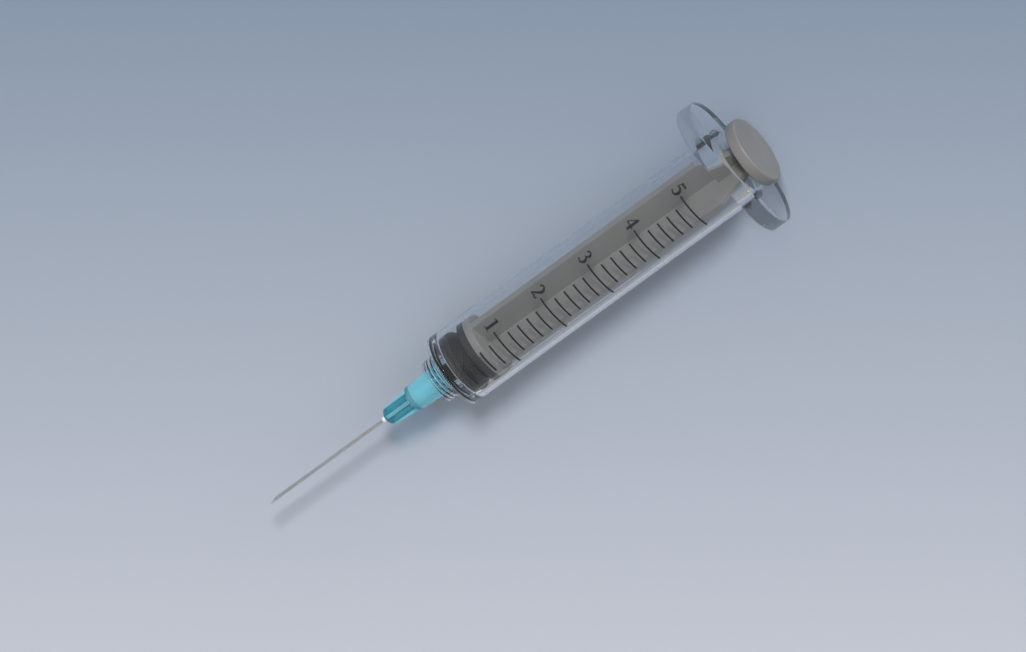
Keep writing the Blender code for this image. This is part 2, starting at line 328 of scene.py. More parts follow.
def mapRange(tree, value, fromEnds, toEnds, interpolation="LINEAR"):
    node = newNode(tree, "ShaderNodeMapRange", interpolation_type=interpolation)
    tree.links.new(value, node.inputs["Value"])
    for label, number in zip(("From Min", "From Max", "To Min", "To Max"), (*fromEnds, *toEnds)):
        node.inputs[label].default_value = number
    return node.outputs["Result"]


def spread(tree, value, low, high):
    # Brings the range where most of a noise lies onto low to high
    return mapRange(tree, value, (patternLook["noiseLow"], patternLook["noiseHigh"]), (low, high))


def easedRange(tree, value, low, high, start=0):
    # Rises smoothly from start at low mm to 1 at high mm
    return mapRange(tree, value, (low * mm, high * mm), (start, 1), "SMOOTHSTEP")


def withDust(tree, base, look):
    # A base colour with the look's specks over it
    dust = useGroup(tree, fineDust, {"Scale": look["dustScale"], "Cover": look["dustCover"]})
    share = maths(tree, "MULTIPLY", dust["Mask"], look["dustShare"])
    return blendColours(tree, share, base, look["dustColour"])


def newMaterial(name, sockets):
    material = bpy.data.materials.new(name)
    material.use_nodes = True
    tree = material.node_tree
    shader = tree.nodes["Principled BSDF"]
    for label, value in sockets.items():
        shader.inputs[label].default_value = value
    return material, tree, shader


def dress(tree, shader, look, base, rough, height):
    # Gives the shader its base colour, a roughness spread over the look's range, and a bump from height
    tree.links.new(base, shader.inputs["Base Color"])
    tree.links.new(spread(tree, rough, *look["rough"]), shader.inputs["Roughness"])
    bump = newNode(tree, "ShaderNodeBump")
    bump.inputs["Strength"].default_value = look["bumpStrength"]
    bump.inputs["Distance"].default_value = look["bumpDepth"] * mm
    tree.links.new(height, bump.inputs["Height"])
    tree.links.new(bump.outputs["Normal"], shader.inputs["Normal"])


passingRays = {
    "Is Reflection Ray": "mirrorTint", "Is Shadow Ray": "lightTint", "Is Diffuse Ray": "lightTint",
}


def letLightThrough(tree, shader, look):
    # Rays to the lamps, and those that light dull surfaces, pass the piece unbent and tinted, so that what
    # lies inside it and below is lit through it. Light that was mirrored inside leaves it in the same way,
    # because a long chain of such mirrorings would end in black. Where two kinds meet, the later counts.
    rays = newNode(tree, "ShaderNodeLightPath").outputs
    surface = shader.outputs[0]
    for ray, tint in passingRays.items():
        clear = newNode(tree, "ShaderNodeBsdfTransparent")
        clear.inputs["Color"].default_value = (*look[tint], 1)
        mix = newNode(tree, "ShaderNodeMixShader")
        tree.links.new(rays[ray], mix.inputs[0])
        tree.links.new(surface, mix.inputs[1])
        tree.links.new(clear.outputs[0], mix.inputs[2])
        surface = mix.outputs[0]
    tree.links.new(surface, tree.nodes["Material Output"].inputs["Surface"])


# Each look holds the shader's plain sockets, its colours, the two ends of its roughness, and the scales and
# the bump of its skin. Scales are per metre, and depths and radii in mm.

clearPlastic = {
    "sockets": {"IOR": 1.49, "Transmission Weight": 0.992, "Specular IOR Level": 0.3},
    "tint": (0.975, 0.985, 0.995), "haze": (0.935, 0.955, 0.975), "rough": (0.015, 0.05),
    "lightTint": (0.97, 0.978, 0.986), "mirrorTint": (0.76, 0.79, 0.82),
    "waveScale": 220.0, "grainScale": 5000.0, "bumpStrength": 0.04, "bumpDepth": 0.02,
}


def clearPlasticMaterial():
    look = clearPlastic
    material, tree, shader = newMaterial("clearPolypropylene", look["sockets"])
    skin = useSkin(tree, look)
    base = blendColours(tree, skin["Wave"], look["tint"], look["haze"])
    dress(tree, shader, look, base, skin["Wave"], skin["Height"])
    letLightThrough(tree, shader, look)
    return material


greyPlastic = {
    "sockets": {"IOR": 1.49},
    "dark": (0.158, 0.156, 0.151), "light": (0.211, 0.208, 0.201), "rough": (0.36, 0.48),
    "dustScale": 1500.0, "dustCover": 0.42, "dustShare": 0.35, "dustColour": (0.45, 0.44, 0.42),
    "waveScale": 160.0, "grainScale": 9000.0, "bumpStrength": 0.3, "bumpDepth": 0.03,
}


def greyPlasticMaterial():
    look = greyPlastic
    material, tree, shader = newMaterial("greyPolypropylene", look["sockets"])
    skin = useSkin(tree, look)
    base = blendColours(tree, skin["Wave"], look["dark"], look["light"])
    dress(tree, shader, look, withDust(tree, base, look), skin["Grain"], skin["Height"])
    return material


rubberLook = {
    "sockets": {"IOR": 1.52, "Specular IOR Level": 0.16},
    # The groove colour is painted shade for the grooves between the rings; dark and light are the rubber's
    # own tones
    "grooveShade": (0.002, 0.002, 0.002), "dark": (0.009, 0.009, 0.009), "light": (0.025, 0.0245, 0.024),
    "grooveRadius": 5.33, "crestRadius": 5.49, "rough": (0.42, 0.62),
    "dustScale": 2600.0, "dustCover": 0.4, "dustShare": 0.1, "dustColour": (0.3, 0.3, 0.29),
    "waveScale": 500.0, "grainScale": 12000.0, "bumpStrength": 0.5, "bumpDepth": 0.03,
}


def rubberMaterial():
    look = rubberLook
    material, tree, shader = newMaterial("greyRubber", look["sockets"])
    skin = useSkin(tree, look)
    # Painted shade: the grooves between the rings are darkened nearly to black by their distance from the
    # axis, and the crests keep the rubber's own tone
    fromAxis = useGroup(tree, placeInSyringe, {})["From Axis"]
    crest = easedRange(tree, fromAxis, look["grooveRadius"], look["crestRadius"])
    body = blendColours(tree, skin["Wave"], look["dark"], look["light"])
    base = blendColours(tree, crest, look["grooveShade"], body)
    dress(tree, shader, look, withDust(tree, base, look), skin["Wave"], skin["Height"])
    return material


bluePlastic = {
    "sockets": {"IOR": 1.49, "Transmission Weight": 0.7},
    # The deep colour is painted shade for the core between the fins and for the ring; pale and edge are the
    # plastic's own tones
    "deepShade": (0.05, 0.32, 0.42), "pale": (0.34, 0.82, 0.95), "edge": (0.45, 0.92, 0.99),
    "deepRadius": 1.25, "paleRadius": 1.75, "ringHalf": 0.3, "ringFade": 0.5, "ringTone": 0.45,
    "rough": (0.06, 0.12),
    "lightTint": (0.4, 0.68, 0.76), "mirrorTint": (0.4, 0.68, 0.76),
    "waveScale": 500.0, "grainScale": 9000.0, "bumpStrength": 0.25, "bumpDepth": 0.02,
}


def bluePlasticMaterial(ringX):
    # Painted shade: the colour is darkened where there is more plastic, towards the axis between the fins,
    # and at the ring that closes the socket, whose middle is at ringX
    look = bluePlastic
    material, tree, shader = newMaterial("bluePolypropylene", look["sockets"])
    skin = useSkin(tree, look)
    place = useGroup(tree, placeInSyringe, {})
    fromRing = maths(tree, "ABSOLUTE", maths(tree, "ADD", place["Along"], -ringX))
    outside = easedRange(tree, place["From Axis"], look["deepRadius"], look["paleRadius"])
    offRing = easedRange(tree, fromRing, look["ringHalf"], look["ringFade"], look["ringTone"])
    thinAndUnshaded = maths(tree, "MULTIPLY", outside, offRing)
    body = blendColours(tree, skin["Wave"], look["pale"], look["edge"])
    base = blendColours(tree, thinAndUnshaded, look["deepShade"], body)
    dress(tree, shader, look, base, skin["Wave"], skin["Height"])
    letLightThrough(tree, shader, look)
    return material


steelLook = {
    "sockets": {"Metallic": 1.0},
    "dark": (0.62, 0.64, 0.66), "light": (0.78, 0.8, 0.825), "rough": (0.14, 0.32),
    "stretch": (0.02, 1, 1),  # drawing lines run along the tube
    "lineScale": 14000.0, "lineDetail": 3.0, "bumpStrength": 0.2, "bumpDepth": 0.01,
}


def steelMaterial():
    look = steelLook
    material, tree, shader = newMaterial("drawnSteel", look["sockets"])
    stretched = newNode(tree, "ShaderNodeMapping")
    stretched.inputs["Scale"].default_value = look["stretch"]
    tree.links.new(objectPlace(tree), stretched.inputs["Vector"])
    lines = noise(tree, stretched.outputs[0], look["lineScale"], look["lineDetail"])
    base = blendColours(tree, lines, look["dark"], look["light"])
    dress(tree, shader, look, base, lines, lines)
    return material


glueLook = {
    "sockets": {"IOR": 1.5},
    "dark": (0.82, 0.84, 0.84), "light": (0.93, 0.93, 0.92), "rough": (0.12, 0.25),
    "waveScale": 1500.0, "grainScale": 12000.0, "bumpStrength": 0.3, "bumpDepth": 0.02,
}


def glueMaterial():
    look = glueLook
    material, tree, shader = newMaterial("curedGlue", look["sockets"])
    skin = useSkin(tree, look)
    base = blendColours(tree, skin["Wave"], look["dark"], look["light"])
    dress(tree, shader, look, base, skin["Wave"], skin["Height"])
    return material


inkLook = {
    "sockets": {"IOR": 1.45},
    "dark": (0.006, 0.006, 0.007), "light": (0.022, 0.022, 0.024), "rough": (0.4, 0.6),
    "waveScale": 2500.0, "grainScale": 20000.0, "bumpStrength": 0.3, "bumpDepth": 0.01,
}


def inkMaterial():
    look = inkLook
    material, tree, shader = newMaterial("blackInk", look["sockets"])
    skin = useSkin(tree, look)
    base = blendColours(tree, skin["Grain"], look["dark"], look["light"])
    dress(tree, shader, look, base, skin["Wave"], skin["Grain"])
    return material


print("stage 2: the materials are ready")

barrelShape = {
    "boreRadius": 5.642, "wall": 0.94, "length": 61.8, "frontWall": 1.85, "rimWidth": 0.6, "dishDepth": 0.5,
    "flangeThickness": 3.0, "flangeArc": 6.27,  # from the axis to the centres of its round ends
    "flangeStep": 0.1,  # how far its flats stand out from the tube
    "flangeRoom": 0.35, "filletShare": 0.45,
    "tipLength": 7.5, "tipRadius": 1.98, "tipSlope": 0.03, "channelRadius": 1.0,
    "collarLength": 3.2, "collarBore": 3.5, "collarWall": 0.4,
    "pocketRadius": 1.78, "pocketFront": -0.64, "pocketChamfer": 0.4,  # it takes the stopper's nub
    "mouthFace": 0.2,
    "columns": 288, "threadStep": 0.045, "tubeStep": 1.5, "seam": 0.05,
    "fillets": {
        "channel": 0.1, "tip": 0.18, "tipFoot": 0.25, "collarFoot": 0.15, "collarRim": 0.12,
        "collarBack": 0.2, "dish": 0.15, "rimInside": 0.1, "rim": 0.2, "flangeFoot": 0.3,
        "flangeEdge": 0.25, "mouth": 0.2, "boreFloor": 0.25, "pocket": 0.1,
    },
}
threadShape = {
    "pitch": 0.73, "depth": 0.26, "crest": 0.3, "flank": 0.18,
    "fade": 0.4, "frontGap": 0.2, "backGap": 0.25,
}
barrelOuter = barrelShape["boreRadius"] + barrelShape["wall"]
barrelFront = barrelHigh.x - barrelShape["length"] * mm  # the datum of the barrel's numbers


def stadiumRadius(angles, halfHeight, arcOffset):
    # Distance to a bar with round ends: its flat at halfHeight / cos, and further out the circle of that
    # radius round the end's centre
    up, out = np.abs(np.cos(angles)), np.abs(np.sin(angles))
    flat = halfHeight / np.maximum(up, tiny)
    end = arcOffset * out + np.sqrt(np.maximum(halfHeight**2 - (arcOffset * up) ** 2, 0))
    return np.where(flat * out <= arcOffset, flat, end)


def threadRidge(x, angles):
    # Right-hand ridge: its phase is x over the pitch less the angle over a full turn. It fades at both ends.
    thread = threadShape
    phase = (x / thread["pitch"] - angles / (2 * math.pi)) % 1
    off = np.abs(phase - 0.5) * thread["pitch"]
    ridge = np.clip((thread["crest"] / 2 + thread["flank"] - off) / thread["flank"], 0, 1)
    start = -barrelShape["collarLength"] + thread["frontGap"]
    end = barrelShape["dishDepth"] - thread["backGap"]
    risen, left = smoothRise(x, start, start + thread["fade"]), smoothRise(-x, -end, -end + thread["fade"])
    return ridge * risen * left


def barrelGrid():
    # One closed profile: out of the channel, over tip, collar, tube and flange, and back through the bore.
    # Only the thread and the flange's outline change with the angle.
    shape, fillets = barrelShape, barrelShape["fillets"]
    angles = evenAngles(shape["columns"])
    dish, rimInside = shape["dishDepth"], barrelOuter - shape["rimWidth"]
    collarOuter = shape["collarBore"] + shape["collarWall"]
    tipRoot = shape["tipRadius"] + shape["tipSlope"] * (shape["tipLength"] + dish)
    flangeFront = shape["length"] - shape["flangeThickness"]

    frontX, frontRadius = turned(roundedPath([
        (shape["pocketFront"], shape["channelRadius"]),
        (-shape["tipLength"], shape["channelRadius"], fillets["channel"]),
        (-shape["tipLength"], shape["tipRadius"], fillets["tip"]),
        (dish, tipRoot, fillets["tipFoot"]),
        (dish, shape["collarBore"], fillets["collarFoot"], shape["threadStep"]),
        (-shape["collarLength"], shape["collarBore"], fillets["collarRim"]),
        (-shape["collarLength"], collarOuter, fillets["collarRim"]),
        (dish, collarOuter, fillets["collarBack"]),
        (dish, rimInside, fillets["dish"]),
        (0, rimInside, fillets["rimInside"]),
        (0, barrelOuter, fillets["rim"], shape["tubeStep"]),
        (flangeFront - shape["flangeRoom"], barrelOuter),
    ]), angles)
    threaded = np.abs(frontRadius - shape["collarBore"]) < tiny
    frontRadius = frontRadius - threaded * threadShape["depth"] * threadRidge(frontX, angles)

    rim = stadiumRadius(angles, barrelOuter + shape["flangeStep"], shape["flangeArc"])
    room = shape["filletShare"] * (rim - barrelOuter)  # fillets shrink where the flange hardly stands out
    footRound, edgeRound = np.minimum(fillets["flangeFoot"], room), np.minimum(fillets["flangeEdge"], room)
    risen, left = (part[:, None] for part in quarterArc())
    flangeX = [
        flangeFront - footRound * left,
        flangeFront + edgeRound * risen,
        shape["length"] - edgeRound * left,
    ]
    flangeRadius = [barrelOuter + footRound * risen, rim - edgeRound * left, rim - edgeRound * risen]

    backX, backRadius = turned(roundedPath([
        (shape["length"], barrelOuter - shape["mouthFace"]),
        (shape["length"], shape["boreRadius"], fillets["mouth"], shape["tubeStep"]),
        (shape["frontWall"], shape["boreRadius"], fillets["boreFloor"]),
        (shape["frontWall"], shape["pocketRadius"], fillets["pocket"]),
        (shape["pocketFront"] + shape["pocketChamfer"], shape["pocketRadius"], fillets["pocket"]),
        (shape["pocketFront"], shape["pocketRadius"] - shape["pocketChamfer"], fillets["pocket"]),
        (shape["pocketFront"], shape["channelRadius"] + shape["seam"]),
    ]), angles)
    x = np.vstack([frontX, *flangeX, backX])
    radius = np.vstack([frontRadius, *flangeRadius, backRadius])
    return onAxis(barrelFront, x, radius, angles)


makePiece(
    "barrelShell", [barrelGrid()], clearPlasticMaterial(), "barrel", "barrel",
    closedRows=True
)
print("stage 3: the barrel, its flange, tip and threaded collar")

scaleShape = {
    "first": 12.0,  # from the barrel's front rim to the 1 ml mark
    "pitch": 10.0, "millilitres": 5, "parts": 5,
    "longTick": (-31.3, 30.7), "shortTick": (-19.3, 18.5), "tickStep": 1.25,  # degrees from the top
    "thickness": 0.32, "raised": 0.018, "sunk": 0.012,
    "tickTop": 0.92, "strokeTop": 0.94, "shoulder": 0.7,  # shares of width and height at the cut edges
    "numberAngle": -41.2, "numberShift": 0.35, "numberHeight": 2.6, "strokeSteps": 22, "strokeLift": 0.002,
}


def inkSurface(along, across, height):
    # A point of the print: along the axis, across it as an arc of the barrel's wall, and height off that
    return onAxis(barrelFront, along, barrelOuter + height, across / barrelOuter)


def inkHeight(shares, lift):
    # Height off the wall of shares of the ink's whole depth, part of which is sunk in the wall
    return np.array(shares) * (scaleShape["raised"] + lift + scaleShape["sunk"]) - scaleShape["sunk"]


def tickGrid(x, start, end):
    # A flat bar of ink: a rectangle with its upper edges cut off, carried round the wall from start to end
    scale, top, shoulder = scaleShape, scaleShape["tickTop"], scaleShape["shoulder"]
    along = x + scale["thickness"] / 2 * np.array([-1, -1, -top, top, 1, 1, top, -top])
    steps = max(2, math.ceil((end - start) / scale["tickStep"]))
    across = np.radians(np.linspace(start, end, steps + 1))[:, None] * barrelOuter
    return inkSurface(along, across, inkHeight([0, shoulder, 1, 1, shoulder, 0, 0, 0], 0))


def strokeLine(controls):
    # Catmull-Rom curve through the controls (x, y, width): each point is a cubic mix of its four
    # neighbours. Two controls make a straight line.
    knots = np.array([controls[0], *controls, controls[-1]], float)
    count = scaleShape["strokeSteps"] if len(controls) > 2 else 2
    place = np.linspace(0, len(controls) - 1, count)
    i = np.minimum(place.astype(int), len(controls) - 2)
    t = (place - i)[:, None]
    a, b, c, d = knots[i], knots[i + 1], knots[i + 2], knots[i + 3]
    return b + t / 2 * (c - a + t * (2 * a - 5 * b + 4 * c - d + t * (3 * (b - c) + d - a)))


def strokeGrid(controls, foot, lift):
    # A ribbon of ink as wide as the stroke, with its upper edges cut off; the number's foot is at x = foot
    top, shoulder = scaleShape["strokeTop"], scaleShape["shoulder"]
    line = strokeLine(controls)
    slope = np.gradient(line[:, :2], axis=0)
    slope /= np.linalg.norm(slope, axis=1)[:, None]
    side = np.stack([slope[:, 1], -slope[:, 0]], axis=-1)
    share = np.array([-1, -top, 0, top, 1, 1, 0, -1])
    flat = line[:, None, :2] + side[:, None] * (share[:, None] * line[:, 2][:, None, None] / 2)
    across = flat[..., 0] + math.radians(scaleShape["numberAngle"]) * barrelOuter
    return inkSurface(foot + flat[..., 1], across, inkHeight([shoulder, 1, 1, 1, shoulder, 0, 0, 0], lift))


# Strokes of each number as (x, y, width) in mm from the middle of its foot
numberStrokes = {
    1: [
        [(0, 0.1, 0.5), (0, 2.6, 0.5)],
        [(-0.66, 2.28, 0.12), (-0.4, 2.34, 0.16), (-0.12, 2.5, 0.2)],
        [(-0.62, 0.07, 0.14), (0.62, 0.07, 0.14)],
    ],
    2: [
        [(-0.6, 2.0, 0.36), (-0.42, 2.38, 0.26), (0.05, 2.46, 0.26), (0.46, 2.0, 0.5),
         (0.3, 1.35, 0.46), (-0.2, 0.7, 0.3), (-0.6, 0.26, 0.2)],
        [(-0.72, 0.2, 0.36), (0.62, 0.2, 0.4)],
        [(0.6, 0.12, 0.2), (0.74, 0.62, 0.1)],
    ],
    3: [
        [(-0.62, 2.08, 0.3), (-0.38, 2.4, 0.24), (0.02, 2.46, 0.28), (0.36, 2.05, 0.48),
         (0.08, 1.56, 0.22), (-0.26, 1.42, 0.12)],
        [(-0.2, 1.42, 0.12), (0.22, 1.34, 0.34), (0.5, 0.82, 0.54), (0.18, 0.22, 0.34),
         (-0.3, 0.16, 0.22), (-0.66, 0.34, 0.32)],
    ],
    4: [
        [(0.18, 2.5, 0.18), (-0.76, 0.86, 0.18)],
        [(-0.84, 0.78, 0.28), (0.8, 0.78, 0.28)],
        [(0.26, 2.6, 0.46), (0.26, 0.02, 0.46)],
    ],
    5: [
        [(-0.36, 2.38, 0.42), (0.66, 2.42, 0.4)],
        [(-0.4, 2.5, 0.14), (-0.56, 1.4, 0.14)],
        [(-0.56, 1.42, 0.14), (-0.1, 1.62, 0.34), (0.44, 1.24, 0.54), (0.44, 0.6, 0.52),
         (0.06, 0.18, 0.32), (-0.34, 0.16, 0.22), (-0.68, 0.34, 0.32)],
    ],
}


def tickGrids():
    # A tick for each part of a millilitre, and a long one at each whole millilitre
    scale, grids = scaleShape, []
    for part in range(1, scale["millilitres"] * scale["parts"] + 1):
        ends = scale["longTick"] if part % scale["parts"] == 0 else scale["shortTick"]
        grids.append(tickGrid(scale["first"] + scale["pitch"] * (part / scale["parts"] - 1), *ends))
    return grids


def numberGrids():
    # Each number is centred a little behind its mark. Each stroke is lifted a little more than the one
    # before it, so that no two tops coincide.
    scale, grids = scaleShape, []
    for number, lines in numberStrokes.items():
        middle = scale["first"] + scale["pitch"] * (number - 1) + scale["numberShift"]
        foot = middle - scale["numberHeight"] / 2
        grids += [strokeGrid(line, foot, scale["strokeLift"] * i) for i, line in enumerate(lines)]
    return grids


ink = inkMaterial()
makePiece("scaleMarks", tickGrids(), ink, "barrel")
makePiece("scaleNumbers", numberGrids(), ink, "barrel")
print("stage 4: the printed scale")

stopperShape = {
    "nubLength": 2.55, "nubRadius": 1.63, "nubChamfer": 0.4, "nubRound": 0.15, "footRound": 0.1,
    "pole": 0.3, "ringRadius": 5.502, "columns": 192,
    # Lip, rings and grooves from the front face to the rear as (place, depth below ringRadius, fillet)
    "rings": [
        (0, 0.02, 0.05), (0.08, -0.08, 0.04), (0.2, -0.08, 0.05), (0.36, 0, 0.1), (0.79, 0.13, 0.6),
        (1.24, 0, 0.08), (1.6, 0, 0.05), (1.7, 0.38, 0.05), (2.14, 0.87, 0.12), (3.08, 0.87, 0.15),
        (3.84, 0, 0.12), (4.94, 0, 0.08),
    ],
    # Cavity for the rod's head from the rear face to its floor as (place, radius, fillet)
    "cavity": [(4.94, 2.0, 0.08), (3.84, 2.0), (3.84, 3.0), (3.34, 3.0), (2.34, 2.0), (2.34, 0.3)],
}


def stopperGrid():
    # A profile from the nub's pole, over the rings, to the pole of the cavity's floor, turned on the axis
    shape = stopperShape
    nubFront, nubRadius = -shape["nubLength"], shape["nubRadius"]
    path = roundedPath([
        (nubFront, shape["pole"]),
        (nubFront, nubRadius - shape["nubChamfer"], shape["nubRound"]),
        (nubFront + shape["nubChamfer"], nubRadius, shape["nubRound"]),
        (0, nubRadius, shape["footRound"]),
        *[(x, shape["ringRadius"] - depth, fillet) for x, depth, fillet in shape["rings"]],
        *shape["cavity"],
    ])
    angles = evenAngles(shape["columns"])
    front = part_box("stopper")[0].x + shape["nubLength"] * mm
    return onAxis(front, *turned(path, angles), angles)


makePiece("stopperRubber", [stopperGrid()], rubberMaterial(), "stopper", "stopper")
print("stage 5: the stopper")

rodShape = {
    "headLength": 2.6, "turn": 23.3,
    # Snap head and neck from the front to the disc as (place, radius, fillet)
    "head": [
        (-2.6, 0.4), (-2.6, 1.9, 0.2), (-1.6, 2.9, 0.1), (-1.3, 2.9, 0.05), (-1.3, 1.9, 0.1), (0, 1.9, 0.1),
    ],
    "discRadius": 5.522, "discThickness": 1.4, "discFront": 0.12, "discBack": 0.05, "discLedge": 0.06,
    "discStep": 0.7, "thumbStart": 56.3, "thumbRadius": 6.08, "thumbThickness": 2.0, "thumbRound": 0.25,
    "thumbLedge": 1.2, "thumbPole": 0.5,
    "ribThickness": 1.08, "ribReach": 5.445, "endReach": 3.05, "rootRound": 0.3,
    "ribLead": 1.0, "ribTail": 0.3, "straightRows": 26,  # rows of the straight ribs, and room at both ends
    "taperStart": 49.3, "taperEnd": 54.7, "taperInset": 0.06, "taperRows": 8,
    # The taper's two rounded bends as (place from the bend, distance from the reach before or after it)
    "bendIn": [(-0.1, 0.006), (0.1, 0.05)], "bendOut": [(-0.1, 0.06), (0.15, 0)],
    "edgeWidth": 0.5, "rootWidth": 0.25, "sideSteps": 16, "sideGrowth": 1.5,
    "tipShares": (0, 0.4, 0.7, 0.85, 0.93, 0.98, 1.02, 1.07, 1.13, 1.25),
}


def ribRows(stations):
    # Rows (x, radius, angle) of the ribs' cross at stations (x, reach, thickness)
    rows = []
    for x, reach, thickness in stations:
        angles = armAngles(reach, rodShape["ribThickness"], rodShape)
        rows.append((np.full_like(angles, x), crossRadius(angles, reach, thickness, rodShape), angles))
    return rows


def discRows(path, reach):
    # Rows (x, radius, angle) of a round path, at the angles of a cross with this reach
    angles = armAngles(reach, rodShape["ribThickness"], rodShape)
    return [(np.full_like(angles, x), np.full_like(angles, radius), angles) for x, radius in path]


def rodGrid():
    # Round profiles at both ends, and between them the cross, whose ribs meet the discs in quarter circles
    shape, disc, thumb = rodShape, rodShape["discThickness"], rodShape["thumbStart"]
    headPath = roundedPath([
        *shape["head"],
        (0, shape["discRadius"], shape["discFront"], shape["discStep"]),
        (disc, shape["discRadius"], shape["discBack"], shape["discStep"]),
        (disc, shape["discRadius"] - shape["discLedge"]),
    ])
    full, narrow, thick = shape["ribReach"], shape["endReach"], shape["ribThickness"]
    taperStart, taperEnd = shape["taperStart"], shape["taperEnd"]
    risen, left = quarterArc()
    foot = list(zip(shape["rootRound"] * risen, thick + 2 * shape["rootRound"] * left))
    straight = np.linspace(disc + shape["ribLead"], taperStart - shape["ribTail"], shape["straightRows"])
    shares = np.linspace(shape["taperInset"], 1 - shape["taperInset"], shape["taperRows"])
    stations = [(disc + rise, full, width) for rise, width in foot]
    stations += [(x, full, thick) for x in straight]
    stations += [(taperStart + x, full - drop, thick) for x, drop in shape["bendIn"]]
    stations += [
        (taperStart + share * (taperEnd - taperStart), full + share * (narrow - full), thick)
        for share in shares
    ]
    stations += [(taperEnd + x, narrow + drop, thick) for x, drop in shape["bendOut"]]
    stations += [(thumb - rise, narrow, width) for rise, width in foot[::-1]]
    thumbPath = roundedPath([
        (thumb, shape["thumbRadius"] - shape["thumbLedge"]),
        (thumb, shape["thumbRadius"], shape["thumbRound"]),
        (thumb + shape["thumbThickness"], shape["thumbRadius"], shape["thumbRound"]),
        (thumb + shape["thumbThickness"], shape["thumbPole"]),
    ])
    rows = discRows(headPath, full) + ribRows(stations) + discRows(thumbPath, narrow)
    x, radius, angles = (np.array(part) for part in zip(*rows))
    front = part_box("plunger_rod")[0].x + shape["headLength"] * mm
    return onAxis(front, x, radius, angles + math.radians(shape["turn"]))


makePiece(
    "plungerBody", [rodGrid()], greyPlasticMaterial(), "plunger_rod", "plunger_rod"
)
print("stage 6: the plunger rod")

hubShape = {
    "length": 13.4, "turn": -21.7, "noseRadius": 0.97, "noseTaper": 0.6, "noseRim": (0.08, 0.04),
    "coreRadius": 1.25, "coreFlare": 0.8, "coreStep": 0.4, "coreWidth": 0.12,
    "finThickness": 0.62, "finFront": 1.58, "finRear": 2.04, "finEnd": 7.8,
    "noseRows": (6, 12, 8), "rowGap": 0.1,  # rows of the nose's three stretches, and the gap before each
    "ringRadius": 2.295, "ringLength": 0.64, "ringStep": 0.1, "mouthRadius": 2.67,
    "mouthEdge": (0.06, 0.05),
    "socketMouth": 2.23, "socketDepth": 7.3, "tipSlope": 0.03, "bodyStep": 0.8,
    "funnelLength": 1.0, "funnelRadius": 1.0, "tunnelRadius": 0.35,
    "wellRadius": 0.62, "wellEnd": 0.5, "wellDepth": 1.5, "seam": 0.02,
    "lugReach": 3.2, "lugStart": 1.02, "lugEnd": 0.12, "lugLead": 0.06, "lugHalfAngle": 32, "lugFade": 2.5,
    "lugEdge": [(0, 0.0), (0.02, 0.85), (0.08, 1.0)],  # (place from the lug's end, share of its height)
    "edgeWidth": 0.14, "rootWidth": 0.1, "sideSteps": 16, "sideGrowth": 1.5,
    "tipShares": (0, 0.4, 0.7, 0.86, 0.95, 1.05, 1.16, 1.35),
    "fillets": {
        "nose": 0.06, "ring": 0.06, "ringRear": 0.05, "mouth": 0.04, "socket": 0.08, "socketFloor": 0.1,
        "funnel": 0.08, "tunnel": 0.1, "well": 0.04,
    },
}
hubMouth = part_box("needle_hub")[0].x + hubShape["length"] * mm  # the datum of the hub's numbers
hubRing = hubMouth + (hubShape["ringLength"] / 2 - hubShape["finEnd"]) * mm


def bodyRadius(x):
    # Straight cone from the ring's rear to the mouth
    ringEnd = -hubShape["finEnd"] + hubShape["ringLength"]
    growth = hubShape["mouthRadius"] - hubShape["ringRadius"]
    return hubShape["ringRadius"] + growth * (x - ringEnd) / -ringEnd


def finRows(angles):
    # The core and its four fins, joined by softMax. Both change along the nose in straight stretches.
    shape, nose, finEnd = hubShape, -hubShape["length"], -hubShape["finEnd"]
    stops = [nose, nose + shape["noseTaper"], finEnd - shape["coreFlare"], finEnd]
    x = np.concatenate([
        np.linspace(start + shape["rowGap"], end, rows)
        for start, end, rows in zip(stops, stops[1:], shape["noseRows"])
    ])[:, None]
    flared = shape["ringRadius"] - shape["coreStep"]
    core = np.interp(x, stops, [shape["noseRadius"], shape["coreRadius"], shape["coreRadius"], flared])
    reach = np.interp(x, [*stops[:2], finEnd], [shape["noseRadius"], shape["finFront"], shape["finRear"]])
    fins = crossRadius(angles, reach, shape["finThickness"], shape)
    ones = np.ones_like(angles)
    return x * ones, softMax(fins, core * ones, shape["coreWidth"])


def lugRows(angles):
    # The body's cone, raised to lugReach over two windows of angle with steep ends
    shape = hubShape
    edge = np.array([(-shape["lugStart"] + x, share) for x, share in shape["lugEdge"]] + [
        (-shape["lugEnd"] - x, share) for x, share in shape["lugEdge"][::-1]
    ])
    x = edge[:, :1] * np.ones_like(angles)
    fromLug = np.degrees(np.abs(angles % math.pi - math.pi / 2))
    window = smoothRise(-fromLug, -shape["lugHalfAngle"], -shape["lugHalfAngle"] + shape["lugFade"])
    base = bodyRadius(x)
    return x, base + (shape["lugReach"] - base) * window * edge[:, 1:]


